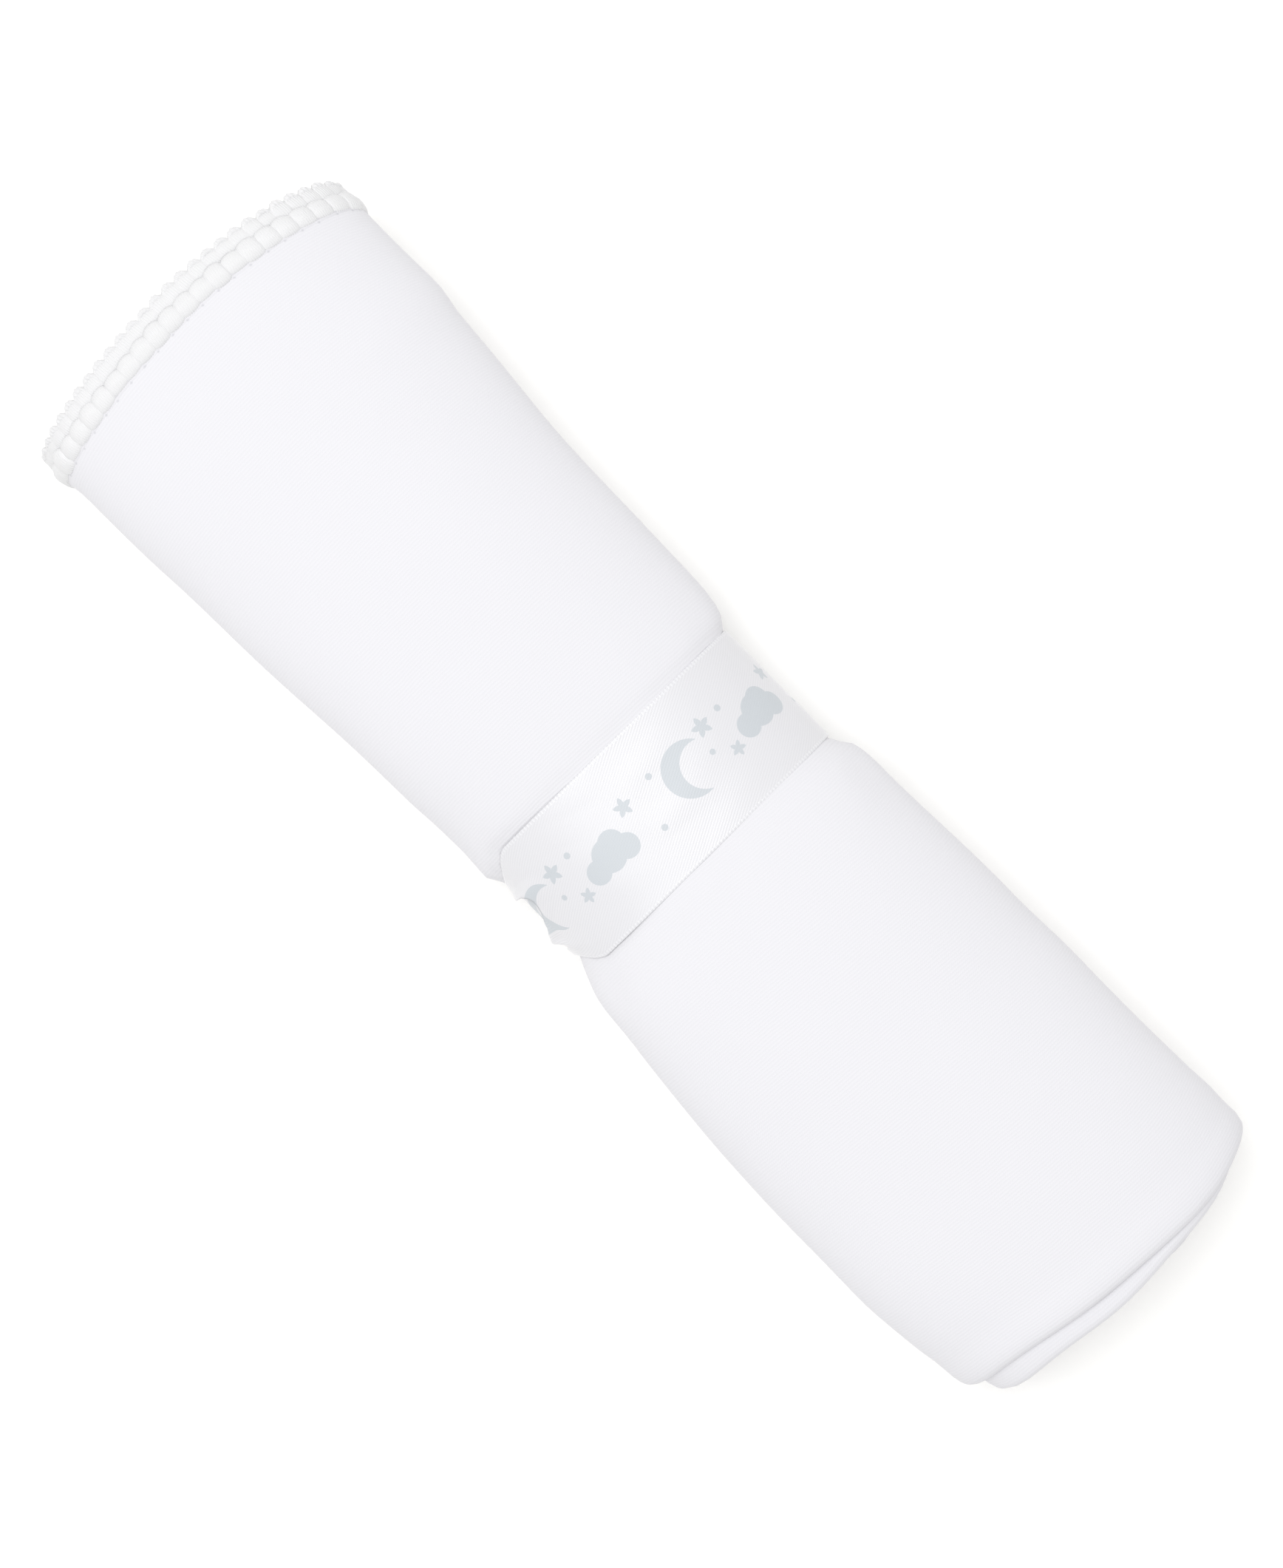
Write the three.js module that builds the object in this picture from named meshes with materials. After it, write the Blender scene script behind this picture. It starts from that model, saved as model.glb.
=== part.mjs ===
// A rolled cotton baby wrap blanket held by a satin ribbon band.
// Millimetres. X runs along the roll from the hem end to the fold end, Z is up and Z = 0 is the table.
// One square-cut sheet is folded in half, with the fold at the +X end and the two hems at the -X end,
// and the doubled sheet is rolled flat. The free end of the roll lies on its underside.

import * as THREE from 'three';

// Sheet
const SHEET_WIDTH = 686; // hem to hem, folded in half along the roll
const SHEET_LENGTH = 762; // rolled up, turn over turn
const LEAF = 1.4; // one thickness of the knitted cloth as it lies in the roll
const EDGING = 5.3; // how far the thread edging stands out from the cloth
const LEAF_STEP = 4.5; // how far the inner leaf's hem stands out past the outer leaf's
const TELESCOPE = 4.5; // how far the inner turns stand out at the fold end
const GAP = 0.3; // clearance between pieces that touch
const END_GAP = 0.8; // the same across the sheet's curved ends

// Roll
const FOLD_TIP = 170.5; // X of the outer turn's fold
const LAST_TURN = 3; // depth of the innermost whole turn, where the outer turn is 0
const LAST_TURN_HALF_WIDTH = 30; // of its middle line
const CORE_HEIGHT = 3.9; // between the middle lines of the last turn's top and of the sheet's inner end
const STEP_START = 0.74; // where in each turn the sheet begins to step under the turn before
const FLOOR_FLAT = 0.7; // how much of the underside is pressed flat by the table
const UPPER_ROUNDNESS = 2.25; // exponent of the section's upper half, 2 is an ellipse
const LOWER_ROUNDNESS = 3;
const FREE_END_ANGLE = -68; // degrees round the section from +Y, so just past the lowest point
const STEPS_A_TURN = 22;

// Where the cloth turns down at the sides, each end of the roll is drawn in: mean amount, and how much more
// on the +Y side. The turns at the core are not drawn in.
const HEM_SETBACK = { mean: 13.2, side: 3.2, from: - 70, to: - 172 };
const FOLD_SETBACK = { mean: 8.3, side: 3.7, from: 80, to: 170 };

// Ribbon
const RIBBON_WIDTH = 38;
const RIBBON_CENTRE_X = 4.7;
const RIBBON_THICKNESS = 0.4;
const RIBBON_START = 182; // degrees, the end that laps over, at the widest place of the -Y side
const RIBBON_END = -222; // degrees, the end that lies against the cloth
const LAP_START = 100; // degrees, where the lapping end begins to lift
const LAP_FULL = 136;
const GLUE_DOT_THICKNESS = 0.3;
const LAP_RISE = RIBBON_THICKNESS + GLUE_DOT_THICKNESS + 2 * GAP;
const GLUE_DOT_X = 7;
const GLUE_DOT_ANGLE = 148;
const GLUE_DOT_SIZE = 8;
const GLUE_DOT_TURN = 6; // degrees, half of what it spans round the roll

// Waist
const WAIST_MARGIN = 2; // between the ribbon's edges and the cloth that swells beside them
const WAIST_START = RIBBON_CENTRE_X - RIBBON_WIDTH / 2 - WAIST_MARGIN;
const WAIST_END = RIBBON_CENTRE_X + RIBBON_WIDTH / 2 + WAIST_MARGIN;
const WAIST_SHOULDER = 8;
const WAIST_HALF_WIDTH = 42.2;
const WAIST_TOP = 46.2;
const WAIST_FLOOR = 1; // room for the ribbon between the cloth and the table

// Stations along the roll: X, half width, sideways shift of the centre line, height of the top.
const STATIONS = [
	[ - 176, 53.4, 0.8, 50 ],
	[ - 135, 51.7, 1.6, 50 ],
	[ - 95, 49.2, 0.6, 49.5 ],
	[ - 55, 47.2, 0.4, 48.8 ],
	[ WAIST_START - WAIST_SHOULDER, 46, 0.4, 47.6 ],
	[ WAIST_START, WAIST_HALF_WIDTH, 0, WAIST_TOP ],
	[ WAIST_END, WAIST_HALF_WIDTH, 0, WAIST_TOP ],
	[ WAIST_END + WAIST_SHOULDER, 47.2, - 0.3, 47.9 ],
	[ 60, 49.4, - 1.6, 49.2 ],
	[ 100, 51.3, - 2.3, 50 ],
	[ 140, 51.6, - 2.2, 50 ],
	[ 162, 50, - 0.5, 49.2 ],
	[ FOLD_TIP + TELESCOPE, 46, - 0.4, 47.4 ],
];

const smoothStep = ( from, to, value ) => THREE.MathUtils.smoothstep( value, from, to );

// Half width, centre shift and top height at a place along the roll.
function station( x ) {

	const last = STATIONS.length - 2;
	const found = STATIONS.findIndex( ( row, i ) => i <= last && x < STATIONS[ i + 1 ][ 0 ] );
	const i = found < 0 ? last : found;
	const [ before, after ] = [ STATIONS[ i ], STATIONS[ i + 1 ] ];
	const share = THREE.MathUtils.clamp( ( x - before[ 0 ] ) / ( after[ 0 ] - before[ 0 ] ), 0, 1 );
	return [ 1, 2, 3 ].map( ( k ) => THREE.MathUtils.lerp( before[ k ], after[ k ], share ) );

}

// How far the underside is held off the table by the ribbon.
function floorHeight( x ) {

	const rise = smoothStep( WAIST_START - WAIST_SHOULDER, WAIST_START, x );
	const fall = smoothStep( WAIST_END, WAIST_END + WAIST_SHOULDER, x );
	return WAIST_FLOOR * ( rise - fall );

}

// A point of the section's outline. Depth counts turns inward from the outer one.
function outline( x, degrees, depth ) {

	const angle = THREE.MathUtils.degToRad( degrees );
	const [ halfWidth, shift, top ] = station( x );
	const floor = floorHeight( x );
	const outerWidth = halfWidth - LEAF;
	const outerHeight = ( top - floor + FLOOR_FLAT ) / 2 - LEAF;
	const a = outerWidth - depth * ( outerWidth - LAST_TURN_HALF_WIDTH ) / LAST_TURN;
	const b = outerHeight - depth * ( 2 * outerHeight - CORE_HEIGHT ) / ( 2 * LAST_TURN + 1 );
	const cos = Math.cos( angle );
	const sin = Math.sin( angle );
	const n = sin > 0 ? UPPER_ROUNDNESS : LOWER_ROUNDNESS;
	const k = ( Math.abs( cos ) ** n + Math.abs( sin ) ** n ) ** ( - 1 / n );
	const middle = top - LEAF - outerHeight;
	const z = Math.max( middle + b * sin * k, floor + LEAF );
	return new THREE.Vector2( shift + a * cos * k, z );

}

// The doubled sheet's middle line: turns counted from the free end. Each turn steps one level inward as it
// passes under the roll.
function depthAt( turns ) {

	const whole = Math.floor( Math.max( turns, 0 ) );
	return whole + smoothStep( STEP_START, 1, turns - whole );

}

const rollAngle = ( turns ) => FREE_END_ANGLE - 360 * turns;
const sheetPoint = ( x, turns ) => outline( x, rollAngle( turns ), depthAt( turns ) );

// Unit vector pointing out of the roll at a place on a path.
function outward( path, at ) {

	const nudge = 0.004;
	const along = path( at + nudge ).sub( path( at - nudge ) ).normalize();
	return new THREE.Vector2( along.y, - along.x ).negate();

}

// How far towards the middle of the roll an end is drawn in, at a place round and along the roll.
function drawnIn( setback, turns, x ) {

	const angle = THREE.MathUtils.degToRad( rollAngle( turns ) );
	const down = 1 - Math.sin( angle );
	const amount = setback.mean + setback.side * Math.cos( angle );
	const share = ( x - setback.from ) / ( setback.to - setback.from );
	const outerTurns = 1 - smoothStep( 1.9, 2.5, turns );
	return amount * down * ( 1 - 0.42 * down ) * smoothStep( 0, 1, share ) * outerTurns;

}

// How far a place on the cloth stands towards +X: the inner turns stand out at the fold end.
function clothSlide( turns, x ) {

	const out = TELESCOPE * smoothStep( 0.7, 1.2, turns );
	return out + drawnIn( HEM_SETBACK, turns, x ) - drawnIn( FOLD_SETBACK, turns, x );

}

// A closed solid swept round the roll. Its section along the roll is a strip between two sides, which list
// the same number of [ x, offset ] points from -X to +X. Slide is how far a place stands towards +X.
function sweep( places, outerSide, innerSide, path, slide ) {

	// Two faces that look at each other across a gap are split along the same diagonal.
	const section = [ ...outerSide, ...innerSide.toReversed() ];
	const points = [];
	for ( const at of places ) {

		for ( const [ x, offset ] of section ) {

			const slid = x + slide( at, x );
			const line = ( place ) => path( slid, place );
			const p = line( at ).addScaledVector( outward( line, at ), offset );
			points.push( slid, p.x, p.y );

		}

	}

	const around = section.length;
	const faces = [];
	for ( let i = 0; i < places.length - 1; i ++ ) {

		for ( let j = 0; j < around; j ++ ) {

			const next = ( j + 1 ) % around;
			const a = i * around + j;
			const b = i * around + next;
			const falls = section[ j ][ 1 ] >= section[ next ][ 1 ];
			if ( falls ) faces.push( a, b, b + around, a, b + around, a + around );
			else faces.push( a, b, a + around, b, b + around, a + around );

		}

	}

	const last = ( places.length - 1 ) * around;
	for ( let j = 0; j < outerSide.length - 1; j ++ ) {

		const across = around - 1 - j;
		faces.push( j, across, across - 1, j, across - 1, j + 1 );
		faces.push( last + j, last + across - 1, last + across, last + j, last + j + 1, last + across - 1 );

	}

	const geometry = new THREE.BufferGeometry();
	geometry.setAttribute( 'position', new THREE.Float32BufferAttribute( points, 3 ) );
	geometry.setIndex( faces );
	geometry.computeVertexNormals();
	return geometry;

}

// Even places from one end of a path to the other.
function spread( from, to, count ) {

	return Array.from( { length: count + 1 }, ( _, i ) => THREE.MathUtils.lerp( from, to, i / count ) );

}

// How many turns use up a length of the sheet, walked along the middle of the fold half.
function turnsFor( length ) {

	const x = 100;
	const step = 1 / 720;
	let turns = 0;
	let walked = 0;
	let here = sheetPoint( x, 0 );
	while ( walked < length ) {

		turns += step;
		const next = sheetPoint( x, turns );
		walked += next.distanceTo( here );
		here = next;

	}

	return turns;

}

const cloth = new THREE.MeshStandardMaterial( { color: 0xf3f2f6, roughness: 0.92, metalness: 0 } );
const thread = new THREE.MeshStandardMaterial( { color: 0xf8f8fb, roughness: 0.7, metalness: 0 } );
const satin = new THREE.MeshStandardMaterial( { color: 0xeef0f4, roughness: 0.32, metalness: 0 } );
const adhesive = new THREE.MeshStandardMaterial( { color: 0xe9e7dd, roughness: 0.4, metalness: 0 } );

const blanket = new THREE.Group();

function addPiece( name, geometry, material ) {

	const mesh = new THREE.Mesh( geometry, material );
	mesh.name = name;
	blanket.add( mesh );

}

// Cloth: the outer leaf and the inner leaf, joined by the fold at the +X end.
const OUTER_HEM_TIP = FOLD_TIP - ( SHEET_WIDTH - LEAF_STEP ) / 2;
const INNER_HEM_TIP = OUTER_HEM_TIP - LEAF_STEP;
const OUTER_LEAF_END = OUTER_HEM_TIP + EDGING;
const INNER_LEAF_END = INNER_HEM_TIP + EDGING;
const FOLD_START = FOLD_TIP - LEAF;
const between = STATIONS.slice( 1, - 1 ).map( ( row ) => row[ 0 ] );
const along = [ OUTER_LEAF_END + 1, ...between, FOLD_START ];
const foldArc = [ 65, 25 ].map( ( degrees ) => THREE.MathUtils.degToRad( degrees ) );

function clothSide( side ) {

	const fold = foldArc.map( ( angle ) => {

		return [ FOLD_START + LEAF * Math.cos( angle ), side * LEAF * Math.sin( angle ) ];

	} );
	return [ ...along.map( ( x ) => [ x, side * LEAF ] ), ...fold ];

}

const outerLeafEnd = [ [ OUTER_LEAF_END, 0 ], [ OUTER_LEAF_END, LEAF ] ];
const clothOuter = [ [ INNER_LEAF_END, 0 ], ...outerLeafEnd, ...clothSide( 1 ).slice( 1 ) ];
const clothInner = [ [ INNER_LEAF_END, - LEAF ], [ OUTER_LEAF_END - 1, - LEAF ], ...clothSide( - 1 ) ];
const clothTurns = turnsFor( SHEET_LENGTH - 2 * EDGING );
const clothPlaces = spread( 0, clothTurns, Math.round( clothTurns * STEPS_A_TURN ) );
addPiece( 'blanket_cloth', sweep( clothPlaces, clothOuter, clothInner, sheetPoint, clothSlide ), cloth );

// Thread edging along the two hems at the -X end.
function addHem( name, tip, low, high ) {

	const root = tip + EDGING - GAP;
	const outerSide = [ [ tip, high ], [ root, high ] ];
	const innerSide = [ [ tip, low ], [ root, low ] ];
	addPiece( name, sweep( clothPlaces, outerSide, innerSide, sheetPoint, clothSlide ), thread );

}

addHem( 'hem_edging_outer_leaf', OUTER_HEM_TIP, GAP, LEAF );
addHem( 'hem_edging_inner_leaf', INNER_HEM_TIP, - LEAF, 0 );

// Thread edging along the sheet's free end under the roll, and along its other end inside the core.
function turnsPerMillimetre( turns ) {

	const nudge = 0.002;
	return nudge / sheetPoint( 100, turns + nudge ).distanceTo( sheetPoint( 100, turns ) );

}

function addEndEdging( name, turns, direction ) {

	const rate = direction * turnsPerMillimetre( turns );
	const places = [ turns + END_GAP * rate, turns + EDGING * rate ].sort( ( a, b ) => a - b );
	const slide = ( _, x ) => clothSlide( turns, x );
	const outerSide = along.map( ( x ) => [ x, LEAF ] );
	const innerSide = along.map( ( x ) => [ x, - LEAF ] );
	addPiece( name, sweep( places, outerSide, innerSide, sheetPoint, slide ), thread );

}

addEndEdging( 'end_edging_outer', 0, - 1 );
addEndEdging( 'end_edging_core', clothTurns, 1 );

// Ribbon: once round the waist. Places on it are degrees as on the outline, but counted the other way.
const ribbonLow = LEAF + GAP;
const ribbonPoint = ( x, place ) => outline( x, - place, 0 );
const lapRise = ( place ) => LAP_RISE * smoothStep( LAP_START, LAP_FULL, - place );
const still = () => 0;

function lappedPoint( x, place ) {

	const line = ( at ) => ribbonPoint( x, at );
	return line( place ).addScaledVector( outward( line, place ), lapRise( place ) );

}

function ribbonGeometry() {

	const edges = [ RIBBON_CENTRE_X - RIBBON_WIDTH / 2, RIBBON_CENTRE_X + RIBBON_WIDTH / 2 ];
	const outerSide = edges.map( ( x ) => [ x, ribbonLow + RIBBON_THICKNESS ] );
	const innerSide = edges.map( ( x ) => [ x, ribbonLow ] );
	return sweep( spread( - RIBBON_START, - RIBBON_END, 72 ), outerSide, innerSide, lappedPoint, still );

}

addPiece( 'ribbon_band', ribbonGeometry(), satin );

// Adhesive dot between the ribbon's two ends.
function glueDotGeometry() {

	const low = ribbonLow + RIBBON_THICKNESS + GAP;
	const ends = [ GLUE_DOT_X - GLUE_DOT_SIZE / 2, GLUE_DOT_X + GLUE_DOT_SIZE / 2 ];
	const outerSide = ends.map( ( x ) => [ x, low + GLUE_DOT_THICKNESS ] );
	const innerSide = ends.map( ( x ) => [ x, low ] );
	const places = spread( - GLUE_DOT_ANGLE - GLUE_DOT_TURN, - GLUE_DOT_ANGLE + GLUE_DOT_TURN, 3 );
	return sweep( places, outerSide, innerSide, ribbonPoint, still );

}

addPiece( 'ribbon_glue_dot', glueDotGeometry(), adhesive );

export default blanket;
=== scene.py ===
import math
from collections import namedtuple

import bpy
import numpy as np
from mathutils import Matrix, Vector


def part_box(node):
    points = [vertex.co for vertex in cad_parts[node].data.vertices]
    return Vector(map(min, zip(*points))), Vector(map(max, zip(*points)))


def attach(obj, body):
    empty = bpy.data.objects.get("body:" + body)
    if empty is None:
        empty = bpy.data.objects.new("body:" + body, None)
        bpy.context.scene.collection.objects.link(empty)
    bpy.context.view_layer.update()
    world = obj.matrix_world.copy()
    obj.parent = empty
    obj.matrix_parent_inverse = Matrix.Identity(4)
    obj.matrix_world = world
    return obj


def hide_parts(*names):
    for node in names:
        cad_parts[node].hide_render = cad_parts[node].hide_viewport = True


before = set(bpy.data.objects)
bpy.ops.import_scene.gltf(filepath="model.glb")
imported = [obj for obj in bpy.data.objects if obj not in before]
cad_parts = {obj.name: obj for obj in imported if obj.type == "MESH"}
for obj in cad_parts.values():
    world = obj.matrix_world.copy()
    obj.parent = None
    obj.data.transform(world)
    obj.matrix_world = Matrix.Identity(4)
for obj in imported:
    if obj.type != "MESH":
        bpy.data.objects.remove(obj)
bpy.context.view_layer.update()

# A knitted cotton baby blanket, folded in half, rolled up flat and held at the waist by a satin ribbon.
# Lengths are in millimetres, and MM turns them into the metres of the frame. X runs along the roll, from
# the hem end to the fold end, and Z is up. "Turns" counts round the roll from the sheet's free end.
MM = 0.001

# The sheet, folded in half with the fold at +X, then rolled
SHEET_WIDTH = 686.0
SHEET_LENGTH = 762.0
LEAF = 1.4  # one thickness of the cloth as the frame has it, with the air around it
LEAF_MIDDLE = 0.75  # from the middle of the doubled sheet to the middle of a leaf
CLOTH_THICKNESS = 1.1
CLOTH_CLEARANCE = 0.02  # least height of the cloth over the floor
EDGING = 5.3  # how far the thread edging stands out from the cloth
LEAF_STEP = 4.5  # how far the inner leaf's hem stands out past the outer leaf's
TELESCOPE = 4.5  # how far the inner turns stand out
FOLD_TELESCOPE = TELESCOPE + 2.0
SECOND_LAYER_OUT = 1.4  # how much further the layer that shows under the fold stands out
FOLD_TIP = 170.5
FOLD_BULB = 2.0  # radius of the round fold
FOLD_BULB_LENGTH = 9.0

# Where the cloth turns down, each end is drawn in: mean amount, and how much more on the +Y side
HEM_SETBACK = (13.2, 3.2)
FOLD_SETBACK = (8.3, 3.7)

# The roll's section
LAST_TURN = 3.0  # depth of the innermost whole turn, where the outer turn is 0
LAST_TURN_HALF_WIDTH = 30.0
CORE_HEIGHT = 3.9
STEP_START = 0.74  # where in each turn the sheet begins to step under the turn before
FLOOR_FLAT = 0.7
UPPER_ROUNDNESS = 2.25
LOWER_ROUNDNESS = 3.0
FREE_END_ANGLE = -68.0  # degrees round the section from +Y

# Folds of the cloth: how far each kind stands off the section
GATHER_FOLDS = 0.35
SLACK_FOLDS = 0.45
BROAD_FOLDS = 0.4
LOOSE_FOLDS = 0.9
SECOND_LAYER_SWELL = 2.9
GIRTH = 230  # of a turn, about
INNER_GIRTH = 190
OTHER_SIDE = 300.0  # shifts the gathers, so that they differ on the ribbon's two sides

# The ribbon and the waist it draws in
RIBBON_LOW, RIBBON_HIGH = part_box("ribbon_band")
RIBBON_FROM = RIBBON_LOW.x / MM
RIBBON_TO = RIBBON_HIGH.x / MM
RIBBON_CENTRE = (RIBBON_FROM + RIBBON_TO) / 2
WAIST_FROM = RIBBON_FROM - 1.0
WAIST_TO = RIBBON_TO + 1.0
WAIST_SHOULDER = 8.0
WAIST_FLOOR = 1.0
# The ribbon is gathered where its ends lap, on the -Y side
GATHER_CENTRE = 6.5
GATHER = 0.45

# Outline of the roll seen from above and its height: X, +Y side, -Y side, top
OUTLINE = np.array([
    (-176.0, 54.2, -52.6, 50.0),
    (-164.0, 54.0, -52.1, 50.0),
    (-153.0, 53.5, -50.4, 50.0),
    (-130.0, 53.3, -50.0, 50.0),
    (-119.0, 51.4, -49.5, 49.8),
    (-96.0, 49.9, -48.6, 49.5),
    (-62.0, 47.8, -47.0, 48.9),
    (-39.0, 47.0, -46.2, 48.4),
    (-27.5, 46.9, -45.4, 47.9),
    (-20.0, 46.2, -46.0, 47.3),
    (-16.6, 44.9, -45.0, 46.8),
    (RIBBON_FROM, 42.5, -42.7, 46.2),
    (RIBBON_TO, 42.5, -42.7, 46.2),
    (26.0, 43.7, -43.4, 46.8),
    (30.0, 46.4, -44.7, 47.4),
    (41.0, 47.6, -48.7, 48.4),
    (63.0, 47.8, -51.2, 49.2),
    (86.0, 47.8, -52.9, 49.7),
    (109.0, 48.9, -54.1, 50.0),
    (131.0, 48.7, -54.3, 50.0),
    (148.0, 49.0, -52.9, 49.8),
    (157.0, 49.5, -51.6, 49.5),
    (166.0, 48.4, -49.2, 48.8),
    (175.0, 45.6, -46.4, 47.4),
])


def smooth_step(start, end, value):
    t = np.clip((np.asarray(value, float) - start) / (end - start), 0.0, 1.0)
    return t * t * (3 - 2 * t)


def smooth_table(xs, ys, at):
    """A smooth curve through the points (xs, ys) that doesn't overshoot them."""
    steps, slopes = np.diff(xs), np.diff(ys) / np.diff(xs)
    tangents = np.zeros(len(xs))
    same_way = slopes[:-1] * slopes[1:] > 0
    pairs = slopes[:-1][same_way], slopes[1:][same_way]
    tangents[1:-1][same_way] = 2 * pairs[0] * pairs[1] / (pairs[0] + pairs[1])
    at = np.clip(at, xs[0], xs[-1])
    i = np.clip(np.searchsorted(xs, at, side="right") - 1, 0, len(xs) - 2)
    h = steps[i]
    t = (at - xs[i]) / h
    start = ys[i] * (1 + 2 * t) * (1 - t) ** 2 + tangents[i] * h * t * (1 - t) ** 2
    end = ys[i + 1] * t * t * (3 - 2 * t) + tangents[i + 1] * h * t * t * (t - 1)
    return start + end


def ripple(a, b, wavelength, seed, waves=7):
    """Smooth noise of about -1 to 1 over two coordinates."""
    random = np.random.default_rng(seed)
    total = np.zeros(np.broadcast(a, b).shape)
    for _ in range(waves):
        length = wavelength * random.uniform(0.7, 1.6)
        heading = random.uniform(0, 2 * math.pi)
        phase = random.uniform(0, 2 * math.pi)
        along = a * math.cos(heading) + b * math.sin(heading)
        total = total + np.sin(along * 2 * math.pi / length + phase)
    return total / math.sqrt(waves) / 1.4


def floor_height(x):
    rise = smooth_step(WAIST_FROM - WAIST_SHOULDER, WAIST_FROM, x)
    return WAIST_FLOOR * (rise - smooth_step(WAIST_TO, WAIST_TO + WAIST_SHOULDER, x))


def gather_share(degrees):
    """0 to 1: how much of the ribbon's gathering is felt at an angle round the roll."""
    turned = np.mod(degrees, 360.0)
    return smooth_step(146, 177, turned) * (1 - smooth_step(190, 228, turned))


def section_point(x, degrees, depth):
    """Y and Z of the section's outline. Depth counts turns inward from the outer one."""
    from_centre = x - GATHER_CENTRE
    near = 1 - smooth_step(13, 40, np.abs(from_centre))
    x = x + from_centre * GATHER * gather_share(degrees) * near
    plus, minus, top = (smooth_table(OUTLINE[:, 0], OUTLINE[:, k], x) for k in (1, 2, 3))
    floor = floor_height(x)
    outer_width = (plus - minus) / 2 - LEAF
    outer_height = (top - floor + FLOOR_FLAT) / 2 - LEAF
    a = outer_width - depth * (outer_width - LAST_TURN_HALF_WIDTH) / LAST_TURN
    b = outer_height - depth * (2 * outer_height - CORE_HEIGHT) / (2 * LAST_TURN + 1)
    angle = np.radians(degrees)
    cos, sin = np.cos(angle), np.sin(angle)
    n = np.where(sin > 0, UPPER_ROUNDNESS, LOWER_ROUNDNESS)
    k = (np.abs(cos) ** n + np.abs(sin) ** n) ** (-1 / n)
    middle = top - LEAF - outer_height
    return (plus + minus) / 2 + a * cos * k, np.maximum(middle + b * sin * k, floor + LEAF)


def roll_angle(turns):
    return FREE_END_ANGLE - 360 * turns


def depth_at(turns):
    whole = np.floor(np.maximum(turns, 0))
    return whole + smooth_step(STEP_START, 1, turns - whole)


def roll_point(x, turns):
    return section_point(x, roll_angle(turns), depth_at(turns))


def with_normal(line, at, nudge=0.004):
    """A point of a line in the section, and the unit vector there that points out of the roll."""
    y, z = line(at)
    (y0, z0), (y1, z1) = line(at - nudge), line(at + nudge)
    length = np.hypot(y1 - y0, z1 - z0)
    return y, z, -(z1 - z0) / length, (y1 - y0) / length


def end_setback(turns, mean, side_y):
    """How far an end of the roll is drawn in at the sides and underneath, where the cloth turns down."""
    angle = np.radians(roll_angle(turns))
    down = 1 - np.sin(angle)
    return (mean + side_y * np.cos(angle)) * down * (1 - 0.42 * down)


def slide(x, turns):
    """Where along X the cloth really lies: the inner turns stand out, and the ends bow in at the sides."""
    to_fold = smooth_step(-80, 80, x)
    second_layer = smooth_step(1.52, 1.7, turns) * (1 - smooth_step(1.86, 2.0, turns))
    fold_out = FOLD_TELESCOPE * smooth_step(0.42, 0.74, turns) + SECOND_LAYER_OUT * second_layer
    out = fold_out * to_fold + TELESCOPE * smooth_step(0.7, 1.2, turns) * (1 - to_fold)
    outer_turns = 1 - smooth_step(1.9, 2.5, turns)
    hem = end_setback(turns, *HEM_SETBACK) * smooth_step(-70, -172, x) * outer_turns
    fold = end_setback(turns, *FOLD_SETBACK) * smooth_step(80, 170, x) * outer_turns
    inner = smooth_step(0.9, 1.3, turns)
    round_roll = turns * INNER_GIRTH
    waves = ripple(round_roll, turns * 0, 26, 5) * smooth_step(90, 172, x) * (0.4 + 0.65 * inner)
    drift = ripple(round_roll, turns * 0, 90, 6) * smooth_step(-60, -172, x) * (0.3 + 0.9 * inner)
    return x + out + hem - fold + waves + drift


def bulge(x, turns):
    """How far the cloth stands off the plain section: folds beside the ribbon and slack along the roll."""
    away = np.maximum(np.maximum(WAIST_FROM - x, x - WAIST_TO), 0.0)
    open_roll = smooth_step(0, 14, away)
    round_roll = turns * GIRTH
    side = np.where(x < RIBBON_CENTRE, 0.0, OTHER_SIDE)
    gathers = ripple(round_roll + side, away * 0.25, 17, 11) * np.exp(-away / 15) * smooth_step(0, 3, away)
    slack = ripple(x, round_roll, 62, 12) * open_roll
    broad = ripple(x * 0.8, round_roll, 120, 14) * open_roll
    inner = smooth_step(0.95, 1.25, turns)
    loose = ripple(x * 0.5, round_roll * 1.3, 45, 13) * open_roll
    in_second = smooth_step(1.2, 1.4, turns)
    swell = SECOND_LAYER_SWELL * smooth_step(90, 160, x) * in_second * (1 - smooth_step(1.8, 2.0, turns))
    outer_folds = GATHER_FOLDS * gathers + SLACK_FOLDS * slack + BROAD_FOLDS * broad
    return outer_folds * (1 - inner) + LOOSE_FOLDS * loose * inner + swell


def cloth_point(x, turns, offset):
    """A point of the doubled sheet, at an offset outward from the middle between its two leaves."""
    lies_at = slide(x, turns)
    y, z, ny, nz = with_normal(lambda t: roll_point(lies_at, t), turns)
    off_floor = smooth_step(-0.95, -0.6, nz)  # what faces down lies flat, so it has no folds
    out = offset + bulge(x, turns) * off_floor
    height = np.maximum(z + nz * out, CLOTH_CLEARANCE)
    return np.stack(np.broadcast_arrays(lies_at, y + ny * out, height), axis=-1)


def turns_for_lengths():
    """Turns, and the length of sheet used up by then, walked along the middle of the fold half."""
    turns = np.arange(0, 6, 1 / 720)
    y, z = roll_point(np.full_like(turns, 100.0), turns)
    return turns, np.concatenate([[0.0], np.cumsum(np.hypot(np.diff(y), np.diff(z)))])


WALK_TURNS, WALK_LENGTH = turns_for_lengths()
CLOTH_LENGTH = SHEET_LENGTH - 2 * EDGING


def turns_at(length):
    return np.interp(length, WALK_LENGTH, WALK_TURNS)


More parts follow.
